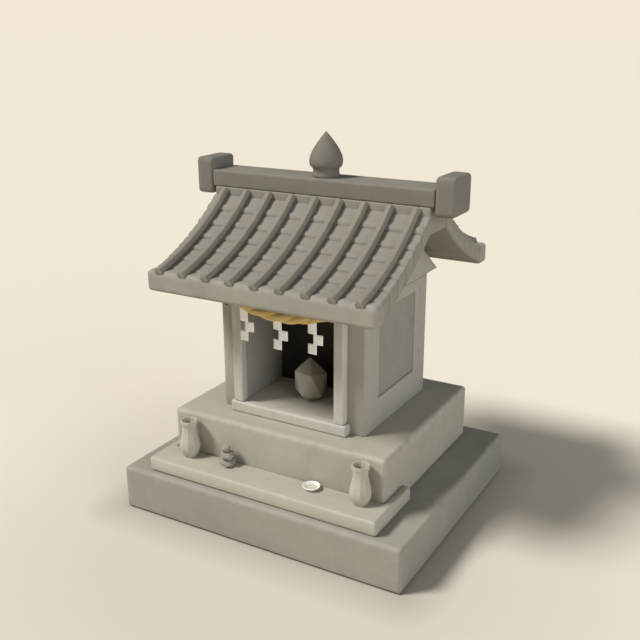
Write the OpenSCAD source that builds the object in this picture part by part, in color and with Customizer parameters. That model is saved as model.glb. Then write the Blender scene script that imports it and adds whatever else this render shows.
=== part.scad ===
// Stone wayside shrine: a small house on a stepped base, with a curved stepped roof.
// Millimetres, +Z up, front face towards -Y. The whole object is centred on the origin
// and rests on the ground at Z = 0.

/* [Base] */
// Width of the ground block
base_width = 1100; // [1000:10:1240]
// Depth of the ground block
base_depth = 935; // [880:5:1100]
// Height of the ground block
base_height = 162; // [100:2:220]
// Softened edge of the ground block
base_edge = 11; // [4:1:16]

/* [Upper plinth] */
// Width of the second block
plinth_width = 840; // [740:4:880]
// Depth of the second block
plinth_depth = 712; // [640:4:740]
// Height of the second block
plinth_height = 203; // [140:1:260]
// How far the middle of the second block sits behind the middle of the base
plinth_back = 35; // [20:1:50]
// Softened edge of the second block
plinth_edge = 14; // [8:1:34]

/* [Offering step] */
// Width of the low slab in front of the second block
step_width = 901; // [870:1:980]
// Height of the low slab
step_height = 54; // [36:1:70]
// Distance from the front of the base to the front of the slab
step_margin = 24; // [14:1:40]
// How far the slab runs back beside the second block
step_return = 144; // [60:2:200]
// Softened edge of the slab
step_edge = 9; // [3:1:14]

/* [House] */
// How far the middle of the house sits behind the middle of the base
house_back = 44; // [30:1:60]
// Outside width of the house
body_width = 574; // [500:2:620]
// Outside depth of the house
body_depth = 490; // [440:2:520]
// Height of the walls
wall_height = 453; // [400:1:520]
// Thickness of the side walls
wall_thick = 90; // [60:1:100]
// Thickness of the rear wall
rear_thick = 60; // [40:1:90]
// Rounding of the outer corners of the house
corner_round = 12; // [6:1:40]
// Depth of the chamber from the front face to its dark back panel
chamber_depth = 251; // [200:1:280]
// Thickness of the chamber floor
floor_thick = 34; // [20:1:40]
// Thickness of the slab over the chamber
ceiling_thick = 48; // [30:1:60]
// Thickness of the dark back panel
back_thick = 14; // [8:1:20]

/* [Side panels] */
// Length of the sunk panel in each side wall
panel_length = 285; // [220:1:310]
// Height of the sunk panel
panel_height = 307; // [240:1:330]
// Distance from the front face of the house to the sunk panel
panel_front = 99; // [80:1:120]
// Distance from the foot of the wall to the sunk panel
panel_foot = 107; // [60:1:110]
// Depth of the sunk panel
panel_depth = 9; // [4:1:16]

/* [Doorway] */
// Width of each square post
jamb_width = 38; // [28:1:48]
// Depth of each square post, in front of the house
jamb_depth = 33; // [26:1:46]
// Clear width between the posts
door_clear = 366; // [320:2:384]
// Height of the sill under the posts
sill_height = 40; // [28:1:50]
// How far the sill runs out past the posts in front
sill_lip = 4; // [2:1:10]
// How far the sill runs out past the posts at each end
sill_ear = 11; // [4:1:20]
// Height of the lintel on the posts
lintel_height = 48; // [36:1:60]
// Softened edge of sill, posts and lintel
trim_edge = 5; // [2:1:8]

/* [Gables] */
// Half width of each gable at wall height
gable_half = 335; // [300:1:372]
// Slope of the gable edge
gable_slope = 36; // [31:0.5:38]
// Length of the free sloping edge, along the roof, before the gable meets the roof
gable_free = 130; // [90:5:160]

/* [Roof] */
// Distance from the house middle to the outer face of each eave beam
roof_half = 465; // [440:1:520]
// Length of the stepped slopes
slope_length = 838; // [760:2:900]
// Length of the eave beams
eave_length = 850; // [800:1:920]
// Height of the underside of the eave beams above the wall top
eave_lift = 13; // [8:1:24]
// Height of each eave beam
eave_height = 73; // [56:1:84]
// Depth of each eave beam
eave_depth = 63; // [50:1:76]
// Softened edge of the eave beams
eave_edge = 15; // [4:1:18]
// Height of the top course edge above the eave beams
roof_rise = 191; // [160:1:240]
// Radius of the hollow curve of the roof
roof_radius = 970; // [780:5:1400]
// Number of stepped courses on each slope
course_count = 6; // [4:1:8]
// Half width of the ridge course, which carries the ridge beam
top_half = 72; // [71:1:78]
// Height of the ridge course above the course in front of it
ridge_lift = 30; // [12:1:40]
// Height of each course top above the foot of the step behind it
course_step = 5; // [4:1:16]
// Rounding of the top front edge of each course
course_round = 12; // [6:1:18]
// Thickness of the courses
course_thick = 60; // [50:1:80]
// Softened ends of the courses
course_edge = 6; // [3:1:12]

/* [Ribs] */
// Number of ribs on each slope
rib_count = 9; // [5:1:11]
// Radius of each rib, from its middle to its corners
rib_radius = 15.5; // [10:0.5:17]
// How deep the ribs are let into the courses
rib_sink = 1.5; // [1:0.5:6]
// Distance between the middles of the outer ribs
rib_span = 748; // [680:2:760]
// How far the rib middles run out past the eave beams
rib_out = 2; // [1:0.5:16]

/* [Ridge] */
// Length of the ridge beam
ridge_length = 862; // [846:2:920]
// Width of the ridge beam
ridge_width = 140; // [120:2:160]
// Height of the ridge beam
ridge_height = 58; // [44:1:72]
// Softened edge of the ridge beam
ridge_edge = 9; // [4:1:14]
// Width of each ridge end block along the ridge
end_width = 71; // [44:1:80]
// Depth of each ridge end block
end_depth = 142; // [124:1:160]
// Height of each ridge end block
end_height = 130; // [96:1:140]
// How far the end blocks reach below the ridge beam
end_drop = 29; // [10:1:30]
// Softened edge of the end blocks
end_edge = 15; // [4:1:18]

/* [Finial] */
// Height of the jewel above the ridge beam
finial_height = 153; // [120:1:190]
// Largest radius of the jewel
finial_radius = 56; // [46:1:66]
// Radius of its neck
finial_neck = 46; // [34:1:54]

/* [Rope and paper] */
// How far the rope hangs in front of the posts
rope_front = 32; // [28:1:44]
// Height of the rope middle above the chamber floor
rope_level = 366; // [350:1:370]
// Radius of the rope hooks
hook_radius = 4; // [3:0.5:6]
// Distance between the paper streamers
streamer_pitch = 134; // [110:1:150]
// Side of each folded paper square
paper_side = 34.5; // [28:0.5:42]
// Sideways shift between one fold and the next
paper_shift = 22; // [12:1:28]
// Thickness of the folded paper
paper_thick = 1.6; // [1:0.1:2.4]

/* [Offerings] */
// Distance of the left vase from the middle
vase_left_x = 329; // [300:1:370]
// Distance of the right vase from the middle
vase_right_x = 354; // [320:1:390]
// Distance of the vases behind the front edge of the slab
vase_inset = 83; // [60:1:83]
// Height of each vase
vase_height = 138; // [100:1:150]
// Largest radius of each vase
vase_radius = 37.5; // [32:0.5:38]
// Wall of each vase
vase_wall = 4.5; // [3:0.5:6]
// Radius of the offering dish
dish_radius = 30.5; // [26:0.5:36]
// Height of the offering dish
dish_height = 14; // [10:1:18]
// Distance of the dish to the right of the middle
dish_x = 170; // [120:1:210]
// Distance of the dish behind the front edge of the slab
dish_inset = 86; // [50:1:86]
// Distance of the stone pile to the left of the middle
cairn_x = 171; // [110:1:200]
// Width of the lowest stone of the pile
cairn_width = 74; // [60:1:76]
// Thickness of each stone of the pile
cairn_thick = 26; // [18:1:32]
// Distance of the stone pile behind the front edge of the slab
cairn_inset = 88; // [50:1:88]
// Mean radius of the faceted stone in the chamber
stone_radius = 78; // [56:1:82]

/* [View] */
// Sub-part to build

/* [Hidden] */

// Small allowance that keeps seated pieces from cutting into each other
seat = 0.2;

// Length that cuts clean through any piece of the roof
through = 400;

// Roof curve: the feet of all the steps lie on one circle whose centre is above the roof.
// The last course laps over the eave beam, where the curve dips under the beam's top
eave_back = roof_half - eave_depth;
eave_lap = eave_edge + 1;
curve_dip = 5;
curve_u0 = top_half;
curve_u1 = eave_back + eave_lap;
curve_fall = roof_rise + curve_dip;
curve_len = norm([curve_u1 - curve_u0, curve_fall]);
curve_tilt = atan(curve_fall / (curve_u1 - curve_u0));
curve_half = asin(curve_len / 2 / roof_radius);
curve_cu = curve_u1 + roof_radius * sin(curve_tilt - curve_half);

// Ribs follow the curve, let into the courses; their tips reach out past the eave beams
rib_flat = rib_radius * cos(30);
rib_ring = roof_radius - course_step - rib_flat + rib_sink;
rib_start = asin((curve_cu - top_half) / rib_ring);
rib_end = asin((curve_cu - roof_half - rib_out) / rib_ring);
rib_tip = curve_cu - (rib_ring - rib_flat) * sin(rib_end);

// Front-to-back places, with the whole object centred on the origin
front_reach = base_depth / 2;
rear_reach = house_back + rib_tip;
base_y = (front_reach - rear_reach) / 2;
plinth_y = base_y + plinth_back;
house_y = base_y + house_back;
front_y = house_y - body_depth / 2;
rear_y = house_y + body_depth / 2;
plinth_front = plinth_y - plinth_depth / 2;
step_front = base_y - base_depth / 2 + step_margin;

// Heights
plinth_z = base_height;
wall_z = base_height + plinth_height;
wall_top = wall_z + wall_height;
step_top = base_height + step_height;
floor_z = wall_z + floor_thick;
ceiling_z = wall_top - ceiling_thick;
sill_z = wall_z + sill_height;
lintel_z = wall_top - lintel_height;

// Widths
inner_half = body_width / 2 - wall_thick;
jamb_x = door_clear / 2 + jamb_width / 2;
trim_half = door_clear / 2 + jamb_width + sill_ear;
post_front = front_y - jamb_depth;

// Roof heights
eave_z = wall_top + eave_lift;
eave_top = eave_z + eave_height;
curve_z0 = eave_top + roof_rise;
curve_cz = eave_top - curve_dip + roof_radius * cos(curve_tilt - curve_half);
course_pitch = (curve_u1 - curve_u0) / course_count;
ridge_z = curve_z0 + ridge_lift;

// Rope: half of its route, each point as (distance from the middle, rise, radius)
rope_route = [[0, 0, 22], [40, 1, 21.5], [80, 5, 20], [120, 11, 17.5], [160, 20, 14],
  [190, 28, 11], [212, 36, 8]];
rope_ends = len(rope_route) - 1;
rope_y = post_front - rope_front;
rope_z = floor_z + rope_level;
hook_x = jamb_x;

// Streamers: how far they tuck up into the rope, how far the first fold is below it, and
// how much lower the outer ones hang
paper_tuck = 8;
paper_drop = 27;
paper_sag = 11;

// Height of the rope middle line, and its radius, at a distance x from the middle
function rope_mid(x) = rope_z + lookup(abs(x), [for (p = rope_route) [p[0], p[1]]]);
function rope_rad(x) = lookup(abs(x), [for (p = rope_route) [p[0], p[2]]]);

// Height of the roof curve at a distance u from the house middle
function curve_z(u) = curve_cz - sqrt(pow(roof_radius, 2) - pow(curve_cu - u, 2));

// Outer edge of course k, counted down from the ridge
function course_u(k) = top_half + course_pitch * k;

// Rectangle with corners rounded in n flats
function soft_rect(w, h, r, n) = [
  for (c = [0:3])
    for (i = [0:n])
      let (a = 90 * c + 90 * i / n)
      [(c == 0 || c == 3 ? 1 : -1) * (w / 2 - r) + r * cos(a),
       (c < 2 ? 1 : -1) * (h / 2 - r) + r * sin(a)]
];

// Block standing on z = 0 with every edge softened
module soft_block(x, y, z, r, n = 2) {
  intersection() {
    linear_extrude(z)
      polygon(soft_rect(x, y, r, n));
    translate([0, y / 2, z / 2])
      rotate([90, 0, 0])
        linear_extrude(y)
          polygon(soft_rect(x, z, r, n));
    translate([-x / 2, 0, z / 2])
      rotate([90, 0, 90])
        linear_extrude(x)
          polygon(soft_rect(y, z, r, n));
  }
}

// Section drawn as (distance from the house middle, height), run along X
module along_x(length) {
  translate([length / 2, house_y, 0])
    rotate([90, 0, -90])
      linear_extrude(length)
        children();
}

// The same piece turned round to the rear of the house
module to_rear() {
  translate([0, 2 * house_y, 0])
    mirror([0, 1, 0])
      children();
}

// ---- Base ----

module base_plinth() {
  color([0.60, 0.57, 0.52])
    translate([0, base_y, 0])
      soft_block(base_width, base_depth, base_height, base_edge);
}

module upper_plinth() {
  color([0.66, 0.63, 0.56])
    translate([0, plinth_y, plinth_z])
      soft_block(plinth_width, plinth_depth, plinth_height, plinth_edge, 3);
}

module offering_step() {
  depth = plinth_front - step_front + step_return;
  color([0.74, 0.70, 0.62])
    difference() {
      translate([0, step_front + depth / 2, base_height])
        soft_block(step_width, depth, step_height, step_edge);
      translate([-plinth_width / 2 - seat, plinth_front - seat, base_height - 1])
        cube([plinth_width + 2 * seat, plinth_depth, step_height + 2]);
    }
}

// ---- Walls and chamber ----

module chamber_floor() {
  color([0.62, 0.60, 0.52])
    translate([-inner_half + seat, front_y, wall_z])
      cube([2 * (inner_half - seat), body_depth - rear_thick, floor_thick]);
}

module front_sill() {
  depth = jamb_depth + sill_lip;
  color([0.74, 0.70, 0.62])
    translate([0, front_y - depth / 2, wall_z])
      soft_block(2 * trim_half, depth, sill_height, trim_edge + 2);
}

// Plan of one side wall with its outer front corner rounded
function wall_plan() = [
  [inner_half, front_y],
  for (i = [0:6])
    let (a = -90 + 15 * i)
    [body_width / 2 - corner_round + corner_round * cos(a),
     front_y + corner_round + corner_round * sin(a)],
  [body_width / 2, rear_y - rear_thick],
  [inner_half, rear_y - rear_thick]
];

module wall_right() {
  color([0.60, 0.58, 0.51])
    difference() {
      translate([0, 0, wall_z])
        linear_extrude(wall_height)
          polygon(wall_plan());
      translate([body_width / 2 - panel_depth, front_y + panel_front, wall_z + panel_foot])
        cube([panel_depth + 1, panel_length, panel_height]);
    }
}

module wall_left() {
  mirror([1, 0, 0])
    wall_right();
}

// Plan of the rear wall, both outer corners rounded
function rear_plan() = [
  [-body_width / 2, rear_y - rear_thick],
  [body_width / 2, rear_y - rear_thick],
  for (i = [0:6])
    let (a = 15 * i)
    [body_width / 2 - corner_round + corner_round * cos(a),
     rear_y - corner_round + corner_round * sin(a)],
  for (i = [0:6])
    let (a = 90 + 15 * i)
    [-body_width / 2 + corner_round + corner_round * cos(a),
     rear_y - corner_round + corner_round * sin(a)]
];

module wall_rear() {
  color([0.58, 0.56, 0.49])
    translate([0, 0, wall_z])
      linear_extrude(wall_height)
        polygon(rear_plan());
}

module back_panel() {
  color([0.12, 0.11, 0.09])
    translate([0, front_y + chamber_depth + back_thick / 2, floor_z])
      soft_block(2 * (inner_half - seat), back_thick, ceiling_z - floor_z, 3, 1);
}

module chamber_ceiling() {
  color([0.56, 0.54, 0.47])
    translate([-inner_half + seat, front_y, ceiling_z])
      cube([2 * (inner_half - seat), body_depth - rear_thick, ceiling_thick]);
}

// ---- Doorway ----

module jamb(x) {
  translate([x, post_front + jamb_depth / 2, sill_z])
    soft_block(jamb_width, jamb_depth, lintel_z - sill_z, trim_edge);
}

module jamb_left() {
  color([0.72, 0.68, 0.60])
    jamb(-jamb_x);
}

module jamb_right() {
  color([0.72, 0.68, 0.60])
    jamb(jamb_x);
}

module lintel() {
  color([0.72, 0.68, 0.60])
    translate([0, post_front + jamb_depth / 2, lintel_z])
      soft_block(2 * trim_half, jamb_depth, lintel_height, trim_edge);
}

// ---- Gables and wall plates ----

// Everything above the undersides of the courses, seen from the side
module roof_space() {
  polygon(concat(
    [[-1, curve_z0 + through], [-1, curve_z0 - course_thick]],
    [for (k = [0:course_count]) [course_u(k), curve_z(course_u(k)) - course_thick]],
    [[course_u(course_count), curve_z0 + through]]));
}

module gable_half_section() {
  free_z = wall_top + gable_free * tan(gable_slope);
  difference() {
    polygon([[0, wall_top], [gable_half, wall_top], [gable_half - gable_free, free_z],
      [gable_half - gable_free, curve_z0], [0, curve_z0]]);
    roof_space();
  }
}

module gable_section() {
  gable_half_section();
  mirror([1, 0])
    gable_half_section();
}

module gable(x) {
  translate([x, 0, 0])
    along_x(wall_thick)
      gable_section();
}

module gable_left() {
  color([0.60, 0.58, 0.51])
    gable(-body_width / 2 + wall_thick / 2);
}

module gable_right() {
  color([0.60, 0.58, 0.51])
    gable(body_width / 2 - wall_thick / 2);
}

module wall_plate() {
  along_x(2 * (inner_half - seat))
    difference() {
      translate([body_depth / 2 - rear_thick, wall_top])
        square([rear_thick, through]);
      roof_space();
    }
}

module wall_plate_front() {
  color([0.60, 0.58, 0.51])
    wall_plate();
}

module wall_plate_rear() {
  color([0.60, 0.58, 0.51])
    to_rear()
      wall_plate();
}

// ---- Stepped roof ----

// How far course k laps under the one above it; the top one butts the ridge course
function course_lap(k) = k > 1 ? 2 : 0;

// One course: top and underside slope with the roof, the front face is upright and its top
// edge rolls over; the last course is notched to sit on the eave beam
module course_section(k) {
  ua = course_u(k - 1);
  ub = course_u(k);
  ur = ub - course_round;
  za = curve_z(ua);
  zb = curve_z(ub);
  roll = curve_z(ur) + course_step - zb;
  lap = course_lap(k);
  difference() {
    polygon(concat(
      k > 1 ? [[ua - lap, za - course_thick + 2 * lap], [ua - lap, za]] : [[ua, za]],
      [[ua + course_round / 2, curve_z(ua + course_round / 2) + course_step]],
      [for (a = [0:30:90])
        [ur + course_round * sin(a), zb + roll * cos(a)]],
      [[ub, zb - course_thick], [ua, za - course_thick]]));
    translate([eave_back - seat, eave_top - through])
      square([eave_depth, through + seat]);
  }
}

module course(k) {
  depth = course_pitch + course_lap(k);
  intersection() {
    along_x(slope_length)
      course_section(k);
    translate([0, house_y - course_u(k) + depth / 2, wall_top])
      linear_extrude(2 * through)
        polygon(soft_rect(slope_length, depth, course_edge, 1));
  }
}

module roof_slope() {
  difference() {
    union()
      for (k = [1:course_count])
        course(k);
    ribs(seat);
  }
}

module roof_slope_front() {
  color([0.58, 0.57, 0.51])
    roof_slope();
}

module roof_slope_rear() {
  color([0.58, 0.57, 0.51])
    to_rear()
      roof_slope();
}

module ridge_course() {
  color([0.56, 0.55, 0.49])
    along_x(slope_length)
      translate([seat - top_half, curve_z0 - course_thick])
        square([2 * (top_half - seat), ridge_lift + course_thick]);
}

module eave_beam() {
  difference() {
    translate([0, house_y - (roof_half + eave_back) / 2, eave_z])
      soft_block(eave_length, eave_depth, eave_height, eave_edge);
    ribs(seat);
  }
}

module eave_front() {
  color([0.59, 0.56, 0.50])
    eave_beam();
}

module eave_rear() {
  color([0.59, 0.56, 0.50])
    to_rear()
      eave_beam();
}

// Six-sided bar bent along the roof curve, flat side up; its groove is the same bar grown
// a little
module rib(x, grow) {
  start = 270 - rib_start;
  end = 270 - rib_end;
  translate([x, house_y, 0])
    rotate([90, 0, -90])
      translate([curve_cu, curve_cz, 0])
        rotate([0, 0, start])
          rotate_extrude(angle = end - start + 2 * grow, $fn = 180)
            translate([rib_ring, 0])
              rotate(30)
                circle(r = rib_radius + grow, $fn = 6);
}

module ribs(grow = 0) {
  for (i = [0:rib_count - 1])
    rib(-rib_span / 2 + rib_span * i / (rib_count - 1), grow);
}

// Space behind the upper ends of the ribs: the ridge course with the ridge beam on it
module ridge_space() {
  along_x(slope_length)
    polygon([[-top_half, curve_z0 - course_thick], [top_half + seat, curve_z0 - course_thick],
      [top_half + seat, ridge_z - seat], [ridge_width / 2 + seat, ridge_z - seat],
      [ridge_width / 2 + seat, ridge_z + ridge_height], [-top_half, ridge_z + ridge_height]]);
}

module cut_ribs() {
  difference() {
    ribs();
    ridge_space();
  }
}

module ribs_front() {
  color([0.41, 0.39, 0.35])
    cut_ribs();
}

module ribs_rear() {
  color([0.41, 0.39, 0.35])
    to_rear()
      cut_ribs();
}

// ---- Ridge ----

module ridge_beam() {
  color([0.48, 0.45, 0.41])
    translate([0, house_y, ridge_z])
      soft_block(ridge_length, ridge_width, ridge_height, ridge_edge);
}

module ridge_end(side) {
  translate([side * (ridge_length + end_width) / 2, house_y, ridge_z - end_drop])
    soft_block(end_width, end_depth, end_height, end_edge);
}

module ridge_end_left() {
  color([0.49, 0.46, 0.42])
    ridge_end(-1);
}

module ridge_end_right() {
  color([0.49, 0.46, 0.42])
    ridge_end(1);
}

module finial() {
  h = finial_height;
  r = finial_radius;
  color([0.50, 0.48, 0.43])
    translate([0, house_y, ridge_z + ridge_height])
      rotate_extrude($fn = 48)
        polygon([[0, 0], [finial_neck, 0], [finial_neck, h * 0.20], [r * 0.90, h * 0.27],
          [r, h * 0.34], [r, h * 0.45], [r * 0.84, h * 0.59], [r * 0.69, h * 0.69],
          [r * 0.47, h * 0.80], [r * 0.25, h * 0.91], [0, h]]);
}

// ---- Rope and paper ----

module rope_body() {
  sides = 12;
  last = 2 * rope_ends;
  ring = [for (j = [-rope_ends:rope_ends]) for (i = [0:sides - 1])
    let (x = sign(j) * rope_route[abs(j)][0], a = 360 * i / sides)
    [x, rope_y + rope_rad(x) * cos(a), rope_mid(x) + rope_rad(x) * sin(a)]];
  walls = [for (j = [0:last - 1]) for (i = [0:sides - 1])
    let (a = j * sides + i, b = j * sides + (i + 1) % sides)
    each [[a, b, b + sides], [a, b + sides, a + sides]]];
  lids = [[for (i = [0:sides - 1]) sides - 1 - i], [for (i = [0:sides - 1]) last * sides + i]];
  polyhedron(points = ring, faces = concat(walls, lids));
}

module rope() {
  color([0.76, 0.62, 0.32])
    difference() {
      rope_body();
      for (i = [-1:1])
        streamer(i, seat);
    }
}

// Underside of the rope where it lies on its hooks
hook_z = rope_mid(hook_x) - rope_rad(hook_x) - hook_radius - 1;

module rope_hook(x) {
  reach = rope_front + rope_rad(hook_x) + 3 * hook_radius;
  translate([x, post_front, hook_z])
    rotate([90, 0, 0])
      cylinder(r = hook_radius, h = reach, $fn = 24);
  translate([x, post_front - reach + hook_radius, hook_z])
    cylinder(r = hook_radius, h = 5 * hook_radius, $fn = 24);
}

module rope_hooks() {
  color([0.25, 0.23, 0.21])
    for (side = [-1, 1])
      rope_hook(side * hook_x);
}

// One zigzag of three paper squares, the first one let into the rope
module streamer(i, grow = 0) {
  side = paper_side;
  x = i * streamer_pitch;
  drop = paper_drop + paper_sag * abs(i);
  fold = rope_mid(x) - rope_rad(x) - drop;
  for (j = [0:2])
    translate([x + (j == 1 ? 1 : -1) * paper_shift / 2 - side / 2 - grow,
      rope_y - paper_thick / 2 - grow, fold - j * side - grow])
      cube([side + 2 * grow, paper_thick + 2 * grow,
        (j == 0 ? drop + paper_tuck : side) + 2 * grow]);
}

module streamers() {
  color([0.90, 0.89, 0.84])
    for (i = [-1:1])
      streamer(i);
}

// ---- Offerings ----

module vase(x) {
  h = vase_height;
  r = vase_radius;
  w = vase_wall;
  translate([x, step_front + vase_inset, step_top])
    rotate_extrude($fn = 48)
      polygon([[0, 0], [r * 0.62, 0], [r * 0.72, h * 0.05], [r * 0.94, h * 0.18],
        [r, h * 0.29], [r * 0.97, h * 0.38], [r * 0.82, h * 0.54], [r * 0.69, h * 0.68],
        [r * 0.68, h * 0.80], [r * 0.74, h * 0.90], [r * 0.81, h * 0.92], [r * 0.81, h],
        [r * 0.81 - w, h], [r * 0.68 - w, h * 0.80], [r * 0.69 - w, h * 0.68],
        [r * 0.82 - w, h * 0.54], [r * 0.97 - w, h * 0.38], [r - w, h * 0.29],
        [r * 0.60, h * 0.08], [0, h * 0.08]]);
}

module vase_left() {
  color([0.77, 0.74, 0.67])
    vase(-vase_left_x);
}

module vase_right() {
  color([0.77, 0.74, 0.67])
    vase(vase_right_x);
}

// Flat-bedded pebble with n sides, its top and bottom cut level
module pebble(w, h, n, turn) {
  intersection() {
    translate([0, 0, h * 0.46])
      rotate([0, 0, turn])
        scale([1, 0.88, 1.5 * h / w])
          sphere(r = w / 2, $fn = n);
    translate([-w, -w, 0])
      cube([2 * w, 2 * w, h]);
  }
}

// Stone number i of the pile, w wide
module cairn_stone(i, dx, w, n, turn) {
  translate([-cairn_x + dx, step_front + cairn_inset, step_top + i * cairn_thick])
    pebble(w, cairn_thick, n, turn);
}

module cairn_bottom() {
  color([0.50, 0.46, 0.41])
    cairn_stone(0, 0, cairn_width, 9, 10);
}

module cairn_middle() {
  color([0.49, 0.45, 0.40])
    cairn_stone(1, 1, cairn_width * 0.88, 8, 40);
}

module cairn_top() {
  color([0.52, 0.48, 0.43])
    cairn_stone(2, -2, cairn_width * 0.60, 7, 20);
}

// Twenty-sided stone, stretched unevenly and turned over; its foot is cut level
module sacred_stone() {
  ring = atan(2);
  pts = concat(
    [[0, 0, 1]],
    [for (i = [0:4]) [sin(ring) * cos(72 * i), sin(ring) * sin(72 * i), cos(ring)]],
    [for (i = [0:4]) [sin(ring) * cos(72 * i + 36), sin(ring) * sin(72 * i + 36), -cos(ring)]],
    [[0, 0, -1]]);
  faces = concat(
    [for (i = [0:4]) [0, 1 + (i + 1) % 5, 1 + i]],
    [for (i = [0:4]) [1 + i, 1 + (i + 1) % 5, 6 + i]],
    [for (i = [0:4]) [6 + i, 1 + (i + 1) % 5, 6 + (i + 1) % 5]],
    [for (i = [0:4]) [11, 6 + i, 6 + (i + 1) % 5]]);
  color([0.46, 0.45, 0.41])
    intersection() {
      translate([-7.5, front_y + 147.5, floor_z + 0.757 * stone_radius])
        rotate([248.7, 14.6, 179.7])
          scale(stone_radius * [0.73, 1.19, 1.07])
            polyhedron(points = pts, faces = faces);
      translate([-inner_half, front_y, floor_z])
        cube([2 * inner_half, chamber_depth, 4 * stone_radius]);
    }
}

module dish() {
  r = dish_radius;
  h = dish_height;
  color([0.93, 0.91, 0.86])
    translate([dish_x, step_front + dish_inset, step_top])
      rotate_extrude($fn = 48)
        polygon([[0, 0], [r * 0.60, 0], [r * 0.94, h * 0.62], [r, h * 0.92], [r * 0.97, h],
          [r * 0.90, h], [r * 0.84, h * 0.88], [r * 0.50, h * 0.36], [0, h * 0.30]]);
}

base_plinth();
upper_plinth();
offering_step();
chamber_floor();
front_sill();
wall_left();
wall_right();
wall_rear();
back_panel();
chamber_ceiling();
jamb_left();
jamb_right();
lintel();
gable_left();
gable_right();
wall_plate_front();
wall_plate_rear();
roof_slope_front();
roof_slope_rear();
ridge_course();
eave_front();
eave_rear();
ribs_front();
ribs_rear();
ridge_beam();
ridge_end_left();
ridge_end_right();
finial();
rope();
rope_hooks();
streamers();
vase_left();
vase_right();
cairn_bottom();
cairn_middle();
cairn_top();
sacred_stone();
dish();
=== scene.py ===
import math
import bmesh
import bpy
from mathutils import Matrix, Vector, noise


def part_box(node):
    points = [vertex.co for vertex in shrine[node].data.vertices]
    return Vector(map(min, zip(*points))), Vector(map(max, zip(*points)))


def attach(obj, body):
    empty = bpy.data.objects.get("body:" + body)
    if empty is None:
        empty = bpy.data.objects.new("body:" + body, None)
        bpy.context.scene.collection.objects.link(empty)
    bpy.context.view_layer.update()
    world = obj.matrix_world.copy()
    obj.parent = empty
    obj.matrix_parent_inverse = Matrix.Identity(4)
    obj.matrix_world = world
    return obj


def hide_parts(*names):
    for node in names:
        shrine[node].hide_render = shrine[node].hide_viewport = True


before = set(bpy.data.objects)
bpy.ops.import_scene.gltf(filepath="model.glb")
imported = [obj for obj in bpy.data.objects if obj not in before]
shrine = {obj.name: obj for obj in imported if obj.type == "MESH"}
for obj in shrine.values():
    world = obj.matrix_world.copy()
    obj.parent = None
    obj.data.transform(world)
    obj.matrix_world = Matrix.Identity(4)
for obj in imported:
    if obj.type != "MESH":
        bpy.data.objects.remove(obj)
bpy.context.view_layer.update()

# ---- View ----
# Someone walking up to the shrine from its front right sees it from a little above the
# roof. The camera stands three metres off, at that person's angle.

scene = bpy.context.scene
scene.view_settings.view_transform = "Standard"
turn = math.radians(29.93)
tilt = math.radians(18.466)
sight = Vector((-math.sin(turn) * math.cos(tilt), math.cos(turn) * math.cos(tilt), -math.sin(tilt)))
aim = Vector((0.0730, -0.1519, 0.7243))
stand_off = 3.0
camera = bpy.data.objects.new("camera", bpy.data.cameras.new("camera"))
camera.data.lens = 49.6
camera.data.sensor_width = 36
camera.location = aim - stand_off * sight
camera.rotation_euler = sight.to_track_quat("-Z", "Y").to_euler()
camera.rotation_euler.rotate_axis("Z", math.radians(-0.15))
scene.collection.objects.link(camera)
scene.camera = camera

# ---- Floor and light ----
# A plain pale studio floor runs on into the backdrop. It is painted darker round the shrine as
# painted shade, most of all close beside the ground block. The key light comes from high on the
# viewer's left, a soft fill comes from the right, and the room gives the rest.


def tone(red, green, blue):
    """A colour as it is seen, 0 to 255, turned into the linear values a shader takes."""
    seen = [value / 255 for value in (red, green, blue)]
    return [v / 12.92 if v <= 0.04045 else ((v + 0.055) / 1.055) ** 2.4 for v in seen] + [1]


def put(tree, kind, sockets=None, **settings):
    """A shader node of that kind; a socket takes a value, or another node's output."""
    node = tree.nodes.new("ShaderNode" + kind)
    for name, value in settings.items():
        setattr(node, name, value)
    for name, value in (sockets or {}).items():
        if isinstance(value, bpy.types.NodeSocket):
            tree.links.new(value, node.inputs[name])
        else:
            node.inputs[name].default_value = value
    return node


def finish(name, roughness=0.9, specular=0.5):
    """A new material with its Principled BSDF, ready for a colour and a normal."""
    made = bpy.data.materials.new(name)
    made.use_nodes = True
    shader = made.node_tree.nodes["Principled BSDF"]
    shader.inputs["Roughness"].default_value = roughness
    shader.inputs["Specular IOR Level"].default_value = specular
    return made, made.node_tree, shader


def lamp(name, travel, strength, spread, colour):
    """A far lamp whose light travels in that direction, spread over that many degrees."""
    light = bpy.data.lights.new(name, "SUN")
    light.energy = strength
    light.angle = math.radians(spread)
    light.color = colour
    obj = bpy.data.objects.new(name, light)
    obj.rotation_euler = Vector(travel).to_track_quat("-Z", "Y").to_euler()
    scene.collection.objects.link(obj)


low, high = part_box("base_plinth")
middle, half = (low + high) / 2, (high - low) / 2
floor_paint, tree, shader = finish("floor_paint", 1.0, 0.0)
place = put(tree, "TexCoord").outputs["Object"]
# Painted shade: the floor is darker nearer the shrine, darkest within 0.4 m of a point in front of it.
away = put(tree, "VectorMath", {0: place, 1: (0.1, -0.4, 0)}, operation="DISTANCE").outputs["Value"]
shade = put(tree, "MapRange", {"Value": away, "From Min": 0.4, "From Max": 1.8},
            interpolation_type="SMOOTHSTEP").outputs["Result"]
paint = put(tree, "Mix", {"Factor": shade, "A": (0.654, 0.591, 0.489), "B": (0.822, 0.747, 0.614)},
            data_type="VECTOR").outputs["Result"]
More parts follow.
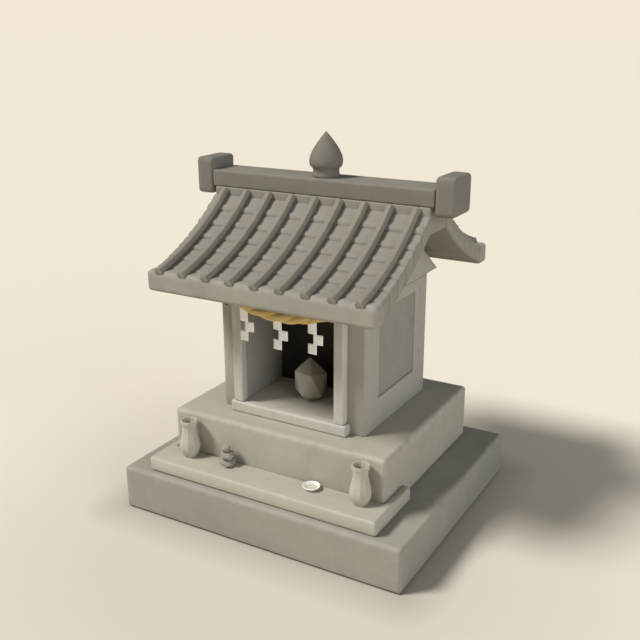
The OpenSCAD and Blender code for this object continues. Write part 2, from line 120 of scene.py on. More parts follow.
# Painted shade: close beside the ground block the floor darkens further, down to 72% at its foot.
aside = put(tree, "VectorMath", {0: place, 1: middle}, operation="SUBTRACT").outputs[0]
aside = put(tree, "VectorMath", {0: aside}, operation="ABSOLUTE").outputs[0]
aside = put(tree, "VectorMath", {0: aside, 1: half}, operation="SUBTRACT").outputs[0]
aside = put(tree, "VectorMath", {0: aside, 1: (0, 0, 0)}, operation="MAXIMUM").outputs[0]
aside = put(tree, "VectorMath", {0: aside}, operation="LENGTH").outputs["Value"]
painted_contact_shade = put(tree, "MapRange", {"Value": aside, "From Max": 0.16, "To Min": 0.72}).outputs["Result"]
paint = put(tree, "VectorMath", {0: paint, "Scale": painted_contact_shade}, operation="SCALE").outputs[0]
tree.links.new(paint, shader.inputs["Base Color"])
flat = bpy.data.meshes.new("floor")
reach = 150
flat.from_pydata([(-reach, -reach, 0), (reach, -reach, 0), (reach, reach, 0), (-reach, reach, 0)],
                 [], [(0, 1, 2, 3)])
flat.materials.append(floor_paint)
floor = bpy.data.objects.new("floor", flat)
scene.collection.objects.link(floor)

lamp("key", (0.50, 0.43, -0.752), 3.3, 16, (1.0, 1.0, 1.0))
lamp("fill", (-0.93, 0.30, -0.20), 1.4, 50, (0.92, 1.0, 1.12))

room = bpy.data.worlds.new("room")
room.use_nodes = True
scene.world = room
tree = room.node_tree
glow = tree.nodes["Background"]
glow.inputs["Color"].default_value = (1, 1, 1, 1)
glow.inputs["Strength"].default_value = 0.19
backdrop = put(tree, "Background", {"Color": tone(242, 232, 213), "Strength": 1.0})
either = put(tree, "MixShader", {"Fac": put(tree, "LightPath").outputs["Is Camera Ray"],
                                 1: glow.outputs[0], 2: backdrop.outputs[0]})
tree.links.new(either.outputs[0], tree.nodes["World Output"].inputs["Surface"])

# ---- Ground block ----
# One large block of pale granite, sawn and then dressed by hand, laid on the ground. Its
# arrises are rounded by weather and by the odd knock, and its foot is painted dark as shade.

# Real weathering, together with the painted shade and painted light marked on chosen faces.
weathering_and_painted_shading = bpy.data.node_groups.new("weathering_and_painted_shading", "ShaderNodeTree")
for label, kind, usual in (("Stone", "Color", (0.4, 0.4, 0.35, 1)), ("Mottle", "Float", 0.05),
                           ("Grain", "Float", 0.05), ("Flecks", "Float", 0.2),
                           ("Stain", "Float", 0.15), ("Worn Edge", "Float", 0.1),
                           ("Relief", "Float", 0.3)):
    weathering_and_painted_shading.interface.new_socket(
        label, in_out="INPUT", socket_type="NodeSocket" + kind).default_value = usual
for label, kind in (("Colour", "Color"), ("Roughness", "Float"), ("Normal", "Vector")):
    weathering_and_painted_shading.interface.new_socket(label, in_out="OUTPUT", socket_type="NodeSocket" + kind)
tree = weathering_and_painted_shading
given = tree.nodes.new("NodeGroupInput").outputs
place = put(tree, "TexCoord").outputs["Object"]
cloud = put(tree, "TexNoise", {"Vector": place, "Scale": 5.0, "Detail": 3.0}).outputs["Fac"]
patch = put(tree, "TexNoise", {"Vector": place, "Scale": 34.0, "Detail": 4.0}).outputs["Fac"]
sand = put(tree, "TexNoise", {"Vector": place, "Scale": 420.0, "Detail": 2.0}).outputs["Fac"]


def maths(tree, operation, *values):
    """The output of one Math node."""
    return put(tree, "Math", dict(enumerate(values)), operation=operation).outputs[0]


def spread(tree, source, low, high, start=0.0, end=1.0):
    """source, from low to high, stretched from start to end and held there."""
    sockets = {"Value": source, "From Min": low, "From Max": high, "To Min": start, "To Max": end}
    return put(tree, "MapRange", sockets).outputs["Result"]


broad = maths(tree, "ADD", spread(tree, cloud, 0.3, 0.7, -1, 1),
              spread(tree, patch, 0.3, 0.7, -0.7, 0.7))
shift = maths(tree, "ADD", maths(tree, "MULTIPLY", broad, given["Mottle"]),
              maths(tree, "MULTIPLY", spread(tree, sand, 0.3, 0.7, -1, 1), given["Grain"]))
crystal = put(tree, "TexVoronoi", {"Vector": place, "Scale": 240.0, "Randomness": 1.0})
fleck = maths(tree, "MULTIPLY", spread(tree, crystal.outputs["Distance"], 0.16, 0.26, 1, 0),
              spread(tree, patch, 0.42, 0.6))
shift = maths(tree, "SUBTRACT", shift, maths(tree, "MULTIPLY", fleck, given["Flecks"]))
streak_place = put(tree, "Mapping", {"Vector": place, "Scale": (16, 16, 1.6)}).outputs[0]
streak = put(tree, "TexNoise", {"Vector": streak_place, "Scale": 1.0, "Detail": 3.0}).outputs["Fac"]
facing = put(tree, "SeparateXYZ", {0: put(tree, "NewGeometry").outputs["True Normal"]}).outputs["Z"]
upright = spread(tree, maths(tree, "ABSOLUTE", facing), 0.3, 0.8, 1, 0)
stain = maths(tree, "MULTIPLY", maths(tree, "MULTIPLY", spread(tree, streak, 0.5, 0.72), upright),
              given["Stain"])
shift = maths(tree, "SUBTRACT", shift, stain)
arris = put(tree, "Attribute", attribute_name="arris").outputs["Fac"]
# Painted shade from the "darker" mark on chosen faces; where the mark is below zero it is painted
# light.
shift = maths(tree, "SUBTRACT", shift, put(tree, "Attribute", attribute_name="darker").outputs["Fac"])
shift = maths(tree, "ADD", shift, maths(tree, "MULTIPLY", maths(
    tree, "MULTIPLY", arris, spread(tree, patch, 0.35, 0.65)), given["Worn Edge"]))
shade = put(tree, "VectorMath", {0: given["Stone"], "Scale": maths(tree, "ADD", shift, 1.0)},
            operation="SCALE").outputs[0]
earthy = put(tree, "VectorMath", {0: shade, 1: (1.0, 0.995, 0.975)}, operation="MULTIPLY").outputs[0]
colour = put(tree, "Mix", {"Factor": spread(tree, cloud, 0.45, 0.7), "A": shade, "B": earthy},
             data_type="VECTOR").outputs["Result"]
height = maths(tree, "ADD", maths(tree, "MULTIPLY", sand, 0.5),
               maths(tree, "SUBTRACT", maths(tree, "MULTIPLY", patch, 0.9), fleck))
normal = put(tree, "Bump", {"Strength": given["Relief"], "Distance": 0.0012, "Height": height})
result = tree.nodes.new("NodeGroupOutput").inputs
tree.links.new(colour, result["Colour"])
tree.links.new(spread(tree, sand, 0.3, 0.7, 0.82, 0.98), result["Roughness"])
tree.links.new(normal.outputs[0], result["Normal"])


def stone(name, colour, **amounts):
    """A stone finish: its own colour, with its own amounts of weathering."""
    made, tree, shader = finish(name, 0.9, 0.25)
    node = tree.nodes.new("ShaderNodeGroup")
    node.node_tree = weathering_and_painted_shading
    node.inputs["Stone"].default_value = colour
    for label, amount in amounts.items():
        node.inputs[label.replace("_", " ").title()].default_value = amount
    tree.links.new(node.outputs["Colour"], shader.inputs["Base Color"])
    tree.links.new(node.outputs["Roughness"], shader.inputs["Roughness"])
    tree.links.new(node.outputs["Normal"], shader.inputs["Normal"])
    return made


def piece(name, mesh, material, slot, *nodes):
    """A finished piece in its place: it rides on the shrine and stands for its CAD nodes."""
    obj = bpy.data.objects.new(name, mesh)
    scene.collection.objects.link(obj)
    mesh.materials.append(material)
    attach(obj, "root")
    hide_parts(*nodes)
    return obj


def dressed_block(name, node, edge, material, slot, seed, uneven=0.0008, cell=0.05, longer=0.0):
    """A dressed block the size of its CAD node: rounded arrises, a little uneven by hand."""
    low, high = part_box(node)
    low, high = low - Vector((longer, 0, 0)), high + Vector((longer, 0, 0))
    middle = (low + high) / 2
    beside, clear = 1.7 * edge, 2.2 * edge
    form = bmesh.new()
    bmesh.ops.create_cube(form, size=1)
    for vert in form.verts:
        vert.co = Vector(high[i] if vert.co[i] > 0 else low[i] for i in range(3))
    for i in range(3):
        across = Vector(float(i == j) for j in range(3))
        size = high[i] - low[i]
        count = round(size / cell)
        cuts = [low[i] + size * k / count for k in range(1, count)]
        cuts = [cut for cut in cuts if clear < cut - low[i] and clear < high[i] - cut]
        if size > 4 * edge:
            cuts += [low[i] + beside, high[i] - beside]
        for cut in cuts:
            every = form.verts[:] + form.edges[:] + form.faces[:]
            bmesh.ops.bisect_plane(form, geom=every, plane_co=across * cut, plane_no=across)
    corners = [e for e in form.edges if e.calc_face_angle(0) > 1]
    bmesh.ops.bevel(form, geom=corners, offset=edge, segments=4, profile=0.5, affect="EDGES")
    worn = form.verts.layers.float.new("arris")
    for vert in form.verts:
        near = sorted(min(vert.co[i] - low[i], high[i] - vert.co[i]) for i in range(3))
        vert[worn] = 1.0 if near[1] < 1.05 * edge else 0.0
        dent = noise.noise(vert.co * 14 + Vector((seed, 0, 0))) + 0.5 * noise.noise(vert.co * 45)
        depth = uneven * (2 if vert[worn] else 0.5)
        vert.co += (middle - vert.co).normalized() * max(0, dent) * depth
    mesh = bpy.data.meshes.new(name)
    form.to_mesh(mesh)
    form.free()
    mesh.shade_smooth()
    return piece(name, mesh, material, slot, node)


def paint_shading(obj, amount, chosen):
    """Paints shade on the chosen faces of a piece, darker by that amount; below zero it paints light
    and they are paler.
    """
    marks = obj.data.attributes.new("darker", "FLOAT", "FACE")
    for face in obj.data.polygons:
        marks.data[face.index].value = amount if chosen(face) else 0.0


ground_granite = stone("ground_granite", tone(154, 149, 137), mottle=0.05, grain=0.06, flecks=0.16,
                       stain=0.04, worn_edge=0.05, relief=0.3)
ground = dressed_block("ground_block", "base_plinth", 0.012, ground_granite, "base_stone", 1)
# Painted shade: the faces of the foot, below 6 mm, are 70% darker.
paint_shading(ground, 0.70, lambda face: face.center.z < 0.006)

# ---- Upper plinth ----
# A second granite block bedded on the first, set back so that a ledge is left in front.
# Its arrises are rounded like those of the ground block.

plinth_granite = stone("plinth_granite", tone(171, 165, 150), mottle=0.05, grain=0.06, flecks=0.14,
                       stain=0.04, worn_edge=0.06, relief=0.3)
dressed_block("plinth_block", "upper_plinth", 0.013, plinth_granite, "base_stone", 2)

# ---- Offering step ----
# A low slab of finer, paler stone on the ledge, cut away behind so that it wraps round the
# plinth. Offerings stand on it. Its top is painted a little darker, as painted shade.

step_stone = stone("step_stone", tone(181, 175, 158), mottle=0.04, grain=0.04, flecks=0.08,
                   stain=0.02, worn_edge=0.10, relief=0.22)


def joined_copy(node, name):
    """The CAD node's mesh as a new one, its coincident corners joined so that it can be eased."""
    form = bmesh.new()
    form.from_mesh(shrine[node].data)
    bmesh.ops.remove_doubles(form, verts=form.verts, dist=0.00002)
    bmesh.ops.dissolve_limit(form, angle_limit=0.02, verts=form.verts, edges=form.edges)
    mesh = bpy.data.meshes.new(name)
    form.to_mesh(mesh)
    form.free()
    return mesh


def eased_piece(name, node, ease, material, slot, smooth_below=35, segments=3):
    """A piece with its CAD node's own shape, its arrises eased by a small bevel."""
    mesh = joined_copy(node, name)
    mesh.shade_smooth()
    obj = piece(name, mesh, material, slot, node)
    bevel = obj.modifiers.new("ease", "BEVEL")
    bevel.width = ease
    bevel.segments = segments
    bevel.limit_method = "ANGLE"
    bevel.angle_limit = math.radians(smooth_below)
    bevel.harden_normals = True
    return obj


slab = eased_piece("step_slab", "offering_step", 0.006, step_stone, "pale_stone")
# Painted shade: the top faces are 8% darker.
paint_shading(slab, 0.08, lambda face: face.normal.z > 0.9)

# ---- House walls ----
# The house is built of dressed slabs: a floor, two side walls with a sunk panel each, a
# rear wall and a ceiling slab. The corners are softened. The sunk panels are painted darker as
# shade, and the floor and ceiling slabs take a paler copy of the wall stone as painted light.

wall_stone = stone("wall_stone", tone(166, 161, 149), mottle=0.05, grain=0.05, flecks=0.10,
                   stain=0.04, worn_edge=0.0, relief=0.25)
# A paler copy of the wall stone: painted light against the shade inside the chamber.
wall_stone_painted_light = stone("wall_stone_painted_light", tone(192, 186, 172), mottle=0.05, grain=0.05, flecks=0.08,
                    stain=0.02, worn_edge=0.0, relief=0.25)
for name, node in (("left_wall", "wall_left"), ("right_wall", "wall_right")):
    wall = eased_piece(name, node, 0.003, wall_stone, "wall_stone")
    outer = max(abs(vert.co.x) for vert in wall.data.vertices)
    # Painted shade: the faces of the sunk panel are 24% darker.
    paint_shading(wall, 0.24, lambda face: 0.002 < outer - abs(face.center.x) < 0.03 and face.area > 0.02)
eased_piece("rear_wall", "wall_rear", 0.003, wall_stone, "wall_stone")
eased_piece("floor_slab", "chamber_floor", 0.002, wall_stone_painted_light, "wall_stone")
eased_piece("ceiling_slab", "chamber_ceiling", 0.002, wall_stone_painted_light, "wall_stone")

# ---- Dark back panel ----
# A thin board closes the chamber at the back. Its near-black is painted shade, so that what
# stands in the chamber shows up against the dark. Its face is riven and left unpolished.


def between(tree, source, first, second, low=0.35, high=0.65):
    """A colour that goes from first to second as source goes from low to high."""
    ends = [end if isinstance(end, bpy.types.NodeSocket) else end[:3] for end in (first, second)]
    sockets = {"Factor": spread(tree, source, low, high), "A": ends[0], "B": ends[1]}
    return put(tree, "Mix", sockets, data_type="VECTOR").outputs["Result"]


def roughen(tree, shader, strength, depth, height):
    """Fine relief on a surface: that strong, and that deep in metres, where height is high."""
    bump = put(tree, "Bump", {"Strength": strength, "Distance": depth, "Height": height})
    tree.links.new(bump.outputs[0], shader.inputs["Normal"])


painted_shade_board, tree, shader = finish("painted_shade_board", 0.75, 0.25)
place = put(tree, "TexCoord").outputs["Object"]
riven_place = put(tree, "Mapping", {"Vector": place, "Scale": (7, 1, 26)}).outputs[0]
riven = put(tree, "TexNoise", {"Vector": riven_place, "Scale": 1.0, "Detail": 5.0}).outputs["Fac"]
# Near-black: painted shade.
tree.links.new(between(tree, riven, tone(42, 39, 35), tone(54, 50, 45)), shader.inputs["Base Color"])
roughen(tree, shader, 0.4, 0.002, riven)
dressed_block("slate_board", "back_panel", 0.002, painted_shade_board, "dark_panel", 3, 0.0003, 0.04)

# ---- Doorway ----
# Sill, two square posts and a lintel of the paler stone stand in front of the house and
# frame the open chamber. They are sawn true, and their arrises are only narrowly rounded.

door_stone = stone("door_stone", tone(188, 183, 170), mottle=0.04, grain=0.04, flecks=0.08,
                   stain=0.06, worn_edge=0.06, relief=0.22)
dressed_block("sill", "front_sill", 0.006, door_stone, "pale_stone", 4, 0.0005)
dressed_block("left_post", "jamb_left", 0.005, door_stone, "pale_stone", 5, 0.0005)
dressed_block("right_post", "jamb_right", 0.005, door_stone, "pale_stone", 6, 0.0005)
dressed_block("door_lintel", "lintel", 0.005, door_stone, "pale_stone", 7, 0.0005)

# ---- Gables and wall plates ----
# The gables carry the roof at both ends, shaped to its hollow underside, and run out past
# the walls in a point. Low plates on the front and rear walls close the gap between them.

for name, node in (("left_gable", "gable_left"), ("right_gable", "gable_right"),
                   ("front_plate", "wall_plate_front"), ("rear_plate", "wall_plate_rear")):
    eased_piece(name, node, 0.003, wall_stone, "wall_stone")

# ---- Stepped roof ----
# Each slope is a run of six stone courses that follow one hollow curve. The front of every
# course rolls over to the next, and fine joints show between them at the ends.

roof_stone = stone("roof_stone", tone(143, 138, 126), mottle=0.05, grain=0.06, flecks=0.10,
                   stain=0.0, worn_edge=0.04, relief=0.3)


def slope_height(out):
    """Height of the hollow curve at a distance out from the middle line of the house."""
    return curve_up - math.sqrt(curve_radius ** 2 - (curve_out - out) ** 2)


low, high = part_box("ridge_course")
house_middle = (low.y + high.y) / 2
curve_radius = 0.970
top_out, top_up = 0.072, 1.095
foot_out, foot_up = 0.418, 0.899
span = math.hypot(foot_out - top_out, top_up - foot_up)
lean = math.atan2(top_up - foot_up, foot_out - top_out) - math.asin(span / 2 / curve_radius)
curve_out = foot_out + curve_radius * math.sin(lean)
curve_up = foot_up + curve_radius * math.cos(lean)

courses = 6
half_long = 0.4222  # half the length of a course
step = 0.0055  # a course stands this far over the curve
roll = 0.022  # its rounded front, measured down the slope
thick = 0.060
edge = 0.007  # the rounding at its two ends
joint = 0.0004  # half the gap between two courses
low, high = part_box("eave_front")
beam_out = house_middle - high.y + joint / 2  # the last course rests on the eave beam from here on
beam_up = high.z + joint / 2


def course_outline(k):
    """The outline (out, up) of course k, counted down from the ridge, from its upper back edge."""
    run = (foot_out - top_out) / courses
    upper = top_out + run * k + (joint if k else 0.0)
    lower = top_out + run * (k + 1) - joint
    turn_out = lower - roll
    lift = slope_height(turn_out) + step - slope_height(lower)
    outline = [(upper, slope_height(upper) - thick), (upper, slope_height(upper) + step * 0.4)]
    for t in (0.15, 0.5, 0.8):
        out = upper + (turn_out - upper) * t
        outline.append((out, slope_height(out) + step))
    for angle in range(0, 91, 15):
        a = math.radians(angle)
        outline.append((turn_out + roll * math.sin(a), slope_height(lower) + lift * math.cos(a)))
    outline.append((lower, slope_height(lower) - thick))
    resting = [out > beam_out and up > beam_up - thick / 2 for out, up in outline]
    outline = [(out, max(up, beam_up) if rests else up) for (out, up), rests in zip(outline, resting)]
    heart = Vector((sum(out for out, up in outline) / len(outline),
                    slope_height((upper + lower) / 2) - thick / 3))
    return outline, heart, turn_out, lower


stations = [(half_long * (2 * i / 22 - 1), 0.0) for i in range(1, 22)]
rounding = [(0.0, edge), (edge * 0.3, edge * 0.3), (edge, 0.0)]
stations = [(-half_long + a, b) for a, b in rounding] + stations
stations += [(half_long - a, b) for a, b in reversed(rounding)]
for name, node, way in (("front_slope", "roof_slope_front", -1), ("rear_slope", "roof_slope_rear", 1)):
    form = bmesh.new()
    worn = form.verts.layers.float.new("arris")
    for k in range(courses):
        outline, heart, turn_out, lower = course_outline(k)
        rings = []
        for x, inset in stations:
            ring = []
            for corner in outline:
                out, up = Vector(corner) + (heart - Vector(corner)).normalized() * inset
                chip = noise.noise(Vector((x * 9, out * 9 * way, k * 3.0)))
                chip += 0.6 * noise.noise(Vector((x * 31, out * 31 * way, k * 5.0)))
                up -= max(0.0, chip) * 0.0014
                vert = form.verts.new((x, house_middle + way * out, up))
                vert[worn] = 1.0 if inset or turn_out < out < lower else 0.0
                ring.append(vert)
            rings.append(ring)
        for a, b in zip(rings, rings[1:]):
            for i in range(len(outline)):
                j = (i + 1) % len(outline)
                form.faces.new((a[i], a[j], b[j], b[i]))
        form.faces.new(rings[0])
        form.faces.new(rings[-1])
    bmesh.ops.recalc_face_normals(form, faces=form.faces)
    mesh = bpy.data.meshes.new(name)
    form.to_mesh(mesh)
    form.free()
    mesh.shade_smooth()
    mesh.set_sharp_from_angle(angle=math.radians(50))
    piece(name, mesh, roof_stone, "roof_stone", node)
eased_piece("ridge_seat", "ridge_course", 0.004, roof_stone, "roof_stone")

# ---- Eave beams ----
# A heavy beam lies along the foot of each slope and takes the ends of the ribs in shallow
# grooves, which the ribs fill, so the form here is plain. Its arrises are worn round.

eave_stone = stone("eave_stone", tone(151, 146, 135), mottle=0.05, grain=0.05, flecks=0.12,
                   stain=0.06, worn_edge=0.05, relief=0.3)
dressed_block("front_eave", "eave_front", 0.015, eave_stone, "roof_stone", 11, longer=0.004)
dressed_block("rear_eave", "eave_rear", 0.015, eave_stone, "roof_stone", 12, longer=0.004)

# ---- Ribs ----
# Nine six-sided ribs lie flat side up in shallow grooves on each slope, cut to the same
# curve, and stop against the ridge course. Their tips stand out past the eave.

# A little darker than the roof stone: painted shade for the ribs' shaded sides.
rib_stone = stone("rib_stone", tone(136, 130, 117), mottle=0.06, grain=0.06, flecks=0.10, stain=0.0,
                  worn_edge=0.0, relief=0.3)
for name, node in (("front_ribs", "ribs_front"), ("rear_ribs", "ribs_rear")):
    eased_piece(name, node, 0.0012, rib_stone, "roof_stone", 30, 2)

# ---- Ridge ----
# A long beam caps both slopes, with a heavier block closing each end of it. All three are
# of the dark stone, and the top of the beam is painted paler as painted light.

ridge_stone = stone("ridge_stone", tone(122, 117, 107), mottle=0.05, grain=0.05, flecks=0.10,
                    stain=0.05, worn_edge=0.06, relief=0.3)
ridge = dressed_block("ridge_bar", "ridge_beam", 0.006, ridge_stone, "dark_stone", 8)
# Painted light: the top faces of the beam are 24% paler.
paint_shading(ridge, -0.24, lambda face: face.normal.z > 0.9)
dressed_block("left_ridge_block", "ridge_end_left", 0.014, ridge_stone, "dark_stone", 9)
dressed_block("right_ridge_block", "ridge_end_right", 0.014, ridge_stone, "dark_stone", 10)

# ---- Jewel ----
# A pointed jewel turned from one piece of the dark stone stands in the middle of the ridge,
# on a short round neck with a low foot ring.


def lathe(name, outline, centre, sides, first=0.0):
    """A closed turned form from (radius, height) points, a ring of sides for each point."""
    verts, faces = [], []
    for radius, height in outline:
        for k in range(sides):
            angle = first + 2 * math.pi * k / sides
            verts.append(centre + Vector((radius * math.cos(angle), radius * math.sin(angle), height)))
    for j in range(len(outline) - 1):
        for k in range(sides):
            a, b = j * sides + k, j * sides + (k + 1) % sides
            faces.append((a, b, b + sides, a + sides))
    mesh = bpy.data.meshes.new(name)
    mesh.from_pydata(verts, [], faces)
    form = bmesh.new()
    form.from_mesh(mesh)
    bmesh.ops.remove_doubles(form, verts=form.verts, dist=0.00001)
    bmesh.ops.recalc_face_normals(form, faces=form.faces)
    form.to_mesh(mesh)
    form.free()
    mesh.shade_smooth()
    return mesh


def stand(node):
    """(middle of the foot, radius, height) of a CAD node that is turned about an upright line."""
    low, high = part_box(node)
    foot = Vector(((low.x + high.x) / 2, (low.y + high.y) / 2, low.z))
    return foot, (high.x - low.x) / 2, high.z - low.z


foot, r, h = stand("finial")
outline = [(0, 0), (0.82, 0), (0.85, 0.01), (0.85, 0.05), (0.81, 0.08), (0.81, 0.18), (0.89, 0.21),
           (1.00, 0.25), (1.03, 0.31), (1.045, 0.36), (1.02, 0.42), (0.965, 0.49), (0.865, 0.57),
           (0.71, 0.67), (0.52, 0.77), (0.31, 0.87), (0.12, 0.955), (0.03, 0.992), (0, 1)]
mesh = lathe("jewel", [(r * a, h * b) for a, b in outline], foot, 16, math.radians(11))
mesh.set_sharp_from_angle(angle=math.radians(60))
jewel_stone = stone("jewel_stone", tone(122, 116, 104), mottle=0.05, grain=0.05, flecks=0.10,
                    stain=0.05, worn_edge=0.0, relief=0.25)
piece("jewel", mesh, jewel_stone, "dark_stone", "finial")

# ---- Rope ----
# A sacred rope of rice straw hangs across the doorway on two hooks: three strands laid up
# left-handed, thick in the middle and tapering to both ends.

low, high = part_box("rope")
rope_front = (low.y + high.y) / 2
rope_rise = 0.765
half_route = [(0, 0, 0.022), (0.040, 0.001, 0.0215), (0.080, 0.005, 0.020), (0.120, 0.011, 0.0175),
              (0.160, 0.020, 0.014), (0.190, 0.028, 0.011), (0.212, 0.036, 0.008)]
route = [(-x, rise, radius) for x, rise, radius in half_route[:0:-1]] + half_route


def along_route(t):
    """(x, rise, radius) at t, from 0 at the left end to 1, on a smooth line through the route."""
    place = t * (len(route) - 1)
    k = min(int(place), len(route) - 2)
    f = place - k
    p = [Vector(route[min(max(k + i, 0), len(route) - 1)]) for i in (-1, 0, 1, 2)]
    return 0.5 * (2 * p[1] + (p[2] - p[0]) * f + (2 * p[0] - 5 * p[1] + 4 * p[2] - p[3]) * f * f
                  + (3 * p[1] - p[0] - 3 * p[2] + p[3]) * f ** 3)


rings, sides, strands = 160, 14, 3
centres, verts, faces, fibre = [], [], [], []
for j in range(rings + 1):
    x, rise, radius = along_route(j / rings)
    centres.append(Vector((x, rope_front, rope_rise + rise)))
for strand in range(strands):
    wound = 0.0
    for j in range(rings + 1):
        radius = along_route(j / rings)[2]
        if j:
            wound += (centres[j] - centres[j - 1]).length / (1.6 * radius + 0.022)
        here = along_route(max(j / rings - 0.002, 0))
        ahead = along_route(min(j / rings + 0.002, 1))
        along = Vector((ahead[0] - here[0], 0, ahead[1] - here[1])).normalized()
        up = Vector((-along.z, 0, along.x))
        out = Vector((0, -1, 0))
        spin = -wound * 1.5 + strand * 2 * math.pi / strands
        heart = centres[j] + 0.32 * radius * (math.cos(spin) * up + math.sin(spin) * out)
        for k in range(sides):
            a = 2 * math.pi * k / sides
            ripple = 1 + 0.05 * noise.noise(Vector((k * 1.7, j * 0.06, strand * 9)))
            verts.append(heart + 0.68 * radius * ripple * (math.cos(a) * up + math.sin(a) * out))
            fibre.append((math.cos(a), math.sin(a), wound * 0.12))
    base = strand * (rings + 1) * sides
    for j in range(rings):
        for k in range(sides):
            a, b = base + j * sides + k, base + j * sides + (k + 1) % sides
            faces.append((a, b, b + sides, a + sides))
    faces.append(tuple(base + k for k in reversed(range(sides))))
    faces.append(tuple(base + rings * sides + k for k in range(sides)))
mesh = bpy.data.meshes.new("straw_rope")
mesh.from_pydata(verts, [], faces)
mesh.shade_smooth()
lay = mesh.attributes.new("lay", "FLOAT_VECTOR", "POINT")
for i, place in enumerate(fibre):
    lay.data[i].vector = place
straw, tree, shader = finish("straw", 0.8, 0.3)
laid = put(tree, "Attribute", attribute_name="lay").outputs["Vector"]
stalk_place = put(tree, "Mapping", {"Vector": laid, "Scale": (7, 7, 3)}).outputs[0]
stalks = put(tree, "TexNoise", {"Vector": stalk_place, "Scale": 1.6, "Detail": 3.0}).outputs["Fac"]
fine_place = put(tree, "Mapping", {"Vector": laid, "Scale": (22, 22, 5)}).outputs[0]
fine = put(tree, "TexNoise", {"Vector": fine_place, "Scale": 1.0, "Detail": 2.0}).outputs["Fac"]
gold = between(tree, stalks, tone(196, 164, 96), tone(224, 196, 126))
gold = put(tree, "Mix", {"Factor": spread(tree, fine, 0.5, 0.75, 0, 0.35), "A": gold,
                         "B": tone(158, 124, 68)[:3]}, data_type="VECTOR").outputs["Result"]
tree.links.new(gold, shader.inputs["Base Color"])
roughen(tree, shader, 0.6, 0.0015, maths(tree, "ADD", stalks, maths(tree, "MULTIPLY", fine, 0.5)))
rope = piece("straw_rope", mesh, straw, "straw", "rope")

# ---- Rope hooks ----
# Two hooks of forged iron stand out from the front of the lintel, one above each post. They
# carry the rope from below and turn up in front of it.

iron, tree, shader = finish("iron", 0.6, 0.5)
shader.inputs["Metallic"].default_value = 0.8
place = put(tree, "TexCoord").outputs["Object"]
flakes = put(tree, "TexNoise", {"Vector": place, "Scale": 160.0, "Detail": 4.0}).outputs["Fac"]
rust = between(tree, flakes, (0.05, 0.045, 0.04), (0.13, 0.06, 0.03), 0.5, 0.68)
tree.links.new(rust, shader.inputs["Base Color"])
tree.links.new(spread(tree, flakes, 0.3, 0.7, 0.45, 0.85), shader.inputs["Roughness"])
roughen(tree, shader, 0.4, 0.0006, flakes)
eased_piece("iron_hooks", "rope_hooks", 0.0008, iron, "iron", 40, 2)

# ---- Paper streamers ----
# Three zigzag streamers of folded white paper hang from the rope. Each has three squares,
# and every fold turns the next square a little.

paper, tree, shader = finish("paper", 0.85, 0.2)
place = put(tree, "TexCoord").outputs["Object"]
pulp = put(tree, "TexNoise", {"Vector": place, "Scale": 260.0, "Detail": 4.0}).outputs["Fac"]
white = between(tree, pulp, tone(246, 245, 238), tone(252, 251, 246))
tree.links.new(white, shader.inputs["Base Color"])
roughen(tree, shader, 0.25, 0.0004, pulp)

side = 0.0345  # of one square of the paper
pitch = 0.134  # from one streamer to the next
sideways = 0.022  # from one square to the next
grid = 6  # cells along and up each square
for i, label in ((-1, "left"), (0, "middle"), (1, "right")):
    middle = i * pitch
    tries = [along_route(t / 200) for t in range(201)]
    x, rise, radius = [here for here in tries if here[0] <= middle][-1]
    hidden = 0.011 * abs(i)  # the outer two start higher on the rope
    fold = rope_rise + rise - radius - 0.027 - hidden
    verts, faces = [], []
    for j in range(3):
        turned = 1 if j == 1 else -1
        left = middle + turned * sideways / 2 - side / 2
        foot_z = fold - j * side
        tall = side if j else 0.035 + hidden
        first = len(verts)
        for a in range(grid + 1):
            for b in range(grid + 1):
                u, v = a / grid, b / grid
                lean = (u - 0.5) * 0.003 * turned
                curl = 0.0012 * math.sin(math.pi * u) * (1 - v) + 0.0008 * (j - 1) * (0.5 - v)
                verts.append(Vector((left + side * u, rope_front + lean - curl, foot_z + tall * v)))
        for a in range(grid):
            for b in range(grid):
                k = first + a * (grid + 1) + b
                faces.append((k, k + grid + 1, k + grid + 2, k + 1))
    mesh = bpy.data.meshes.new(label + "_streamer")
    mesh.from_pydata(verts, [], faces)
    mesh.shade_smooth()
    obj = piece(label + "_streamer", mesh, paper, "paper", "streamers")
    thickness = obj.modifiers.new("paper thickness", "SOLIDIFY")
    thickness.thickness = 0.0006
    thickness.offset = 0

# ---- Vases ----
# A pair of thrown vases for greenery stand at the two ends of the step. They are of
# unglazed pale ware, pared in flats down the body, with a plain collar at the rim.

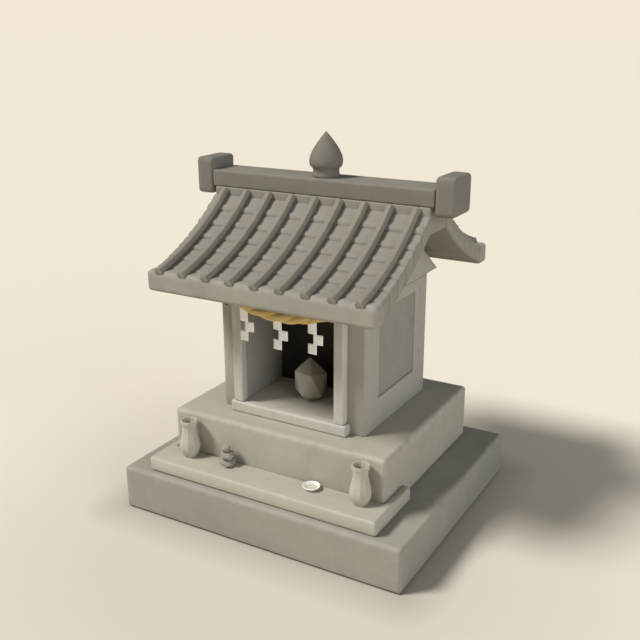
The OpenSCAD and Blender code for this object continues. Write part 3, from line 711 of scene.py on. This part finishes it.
ware, tree, shader = finish("ware", 0.8, 0.3)
place = put(tree, "TexCoord").outputs["Object"]
throw_place = put(tree, "Mapping", {"Vector": place, "Scale": (3, 3, 180)}).outputs[0]
throw = put(tree, "TexNoise", {"Vector": throw_place, "Scale": 1.0, "Detail": 2.0}).outputs["Fac"]
clay = put(tree, "TexNoise", {"Vector": place, "Scale": 300.0, "Detail": 3.0}).outputs["Fac"]
body = between(tree, clay, tone(176, 169, 153), tone(190, 183, 167))
tree.links.new(body, shader.inputs["Base Color"])
roughen(tree, shader, 0.25, 0.0006, maths(tree, "ADD", maths(tree, "MULTIPLY", throw, 0.5), clay))
for label in ("left", "right"):
    foot, r, h = stand("vase_" + label)
    outer = [(0, 0), (0.62, 0), (0.72, 0.05), (0.94, 0.18), (1, 0.29), (0.97, 0.38), (0.82, 0.54),
             (0.69, 0.68), (0.68, 0.80), (0.74, 0.90), (0.81, 0.92), (0.81, 0.995), (0.80, 1)]
    inner = [(0.70, 1), (0.69, 0.995), (0.56, 0.80), (0.57, 0.68), (0.70, 0.54), (0.85, 0.38),
             (0.88, 0.29), (0.60, 0.08), (0, 0.08)]
    outline = [(r * a, h * b) for a, b in outer + inner]
    mesh = lathe(label + "_vase", outline, foot, 10, math.radians(8))
    obj = piece(label + "_vase", mesh, ware, "vase_ware", "vase_" + label)
    bevel = obj.modifiers.new("ease", "BEVEL")
    bevel.width = 0.0012
    bevel.segments = 2
    bevel.angle_limit = math.radians(20)
    bevel.harden_normals = True

# ---- Pile of stones ----
# Three rough stones picked up nearby, balanced on one another as an offering. They have
# broken faces and sharp corners.

pebble_stone = stone("pebble_stone", tone(150, 142, 128), mottle=0.10, grain=0.10, flecks=0.20,
                     stain=0.0, worn_edge=0.0, relief=0.5)
for node, seed in (("cairn_bottom", 3), ("cairn_middle", 8), ("cairn_top", 21)):
    low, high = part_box(node)
    middle, half = (low + high) / 2, (high - low) / 2
    form = bmesh.new()
    bmesh.ops.create_icosphere(form, subdivisions=2, radius=1)
    for vert in form.verts:
        push = 0.86 + 0.30 * noise.noise(vert.co * 1.3 + Vector((seed * 7.3, 0, 0)))
        out = Vector((1.08 * vert.co.x, 1.08 * vert.co.y, 1.3 * vert.co.z)) * push
        vert.co = middle + Vector(half[i] * max(-1, min(1, out[i])) for i in range(3))
    bmesh.ops.remove_doubles(form, verts=form.verts, dist=0.002)
    mesh = bpy.data.meshes.new(node)
    form.to_mesh(mesh)
    form.free()
    piece("stone_" + node.split("_")[1], mesh, pebble_stone, "field_stone", node)

# ---- Stone in the chamber ----
# The shrine's sacred stone: one crystal-like lump with broad broken faces, standing on
# the chamber floor.

chamber_stone = stone("chamber_stone", tone(190, 185, 172), mottle=0.06, grain=0.06, flecks=0.10,
                      stain=0.0, worn_edge=0.0, relief=0.35)
eased_piece("sacred_rock", "sacred_stone", 0.0016, chamber_stone, "field_stone", 12, 2)

# ---- Dish ----
# A small white glazed dish for rice or water, turned thin, with a rolled rim. Its well is
# painted darker than the rim, as painted shade.

glaze, tree, shader = finish("glaze", 0.22, 0.5)
shader.inputs["Coat Weight"].default_value = 0.5
foot, r, h = stand("dish")
place = put(tree, "TexCoord").outputs["Object"]
pool = put(tree, "TexNoise", {"Vector": place, "Scale": 60.0, "Detail": 2.0}).outputs["Fac"]
glaze_and_painted_shade = between(tree, pool, tone(240, 236, 226), tone(248, 245, 236))
outward = put(tree, "VectorMath", {0: place, 1: foot}, operation="SUBTRACT").outputs[0]
outward = put(tree, "VectorMath", {0: outward, 1: (1, 1, 0)}, operation="MULTIPLY").outputs[0]
outward = put(tree, "VectorMath", {0: outward}, operation="LENGTH").outputs["Value"]
# Painted shade: inside 0.66 to 0.74 of the radius the well turns darker.
glaze_and_painted_shade = between(tree, outward, tone(206, 199, 180), glaze_and_painted_shade, 0.66 * r, 0.74 * r)
tree.links.new(glaze_and_painted_shade, shader.inputs["Base Color"])
outline = [(0, 0.08), (0.46, 0.08), (0.50, 0), (0.60, 0), (0.64, 0.12), (0.80, 0.36), (0.94, 0.66),
           (0.99, 0.86), (1, 0.94), (0.975, 0.99), (0.93, 1), (0.885, 0.97), (0.85, 0.86), (0.76, 0.62),
           (0.60, 0.42), (0.40, 0.34), (0, 0.32)]
mesh = lathe("dish", [(r * a, h * b) for a, b in outline], foot, 64)
piece("offering_dish", mesh, glaze, "dish_ware", "dish")
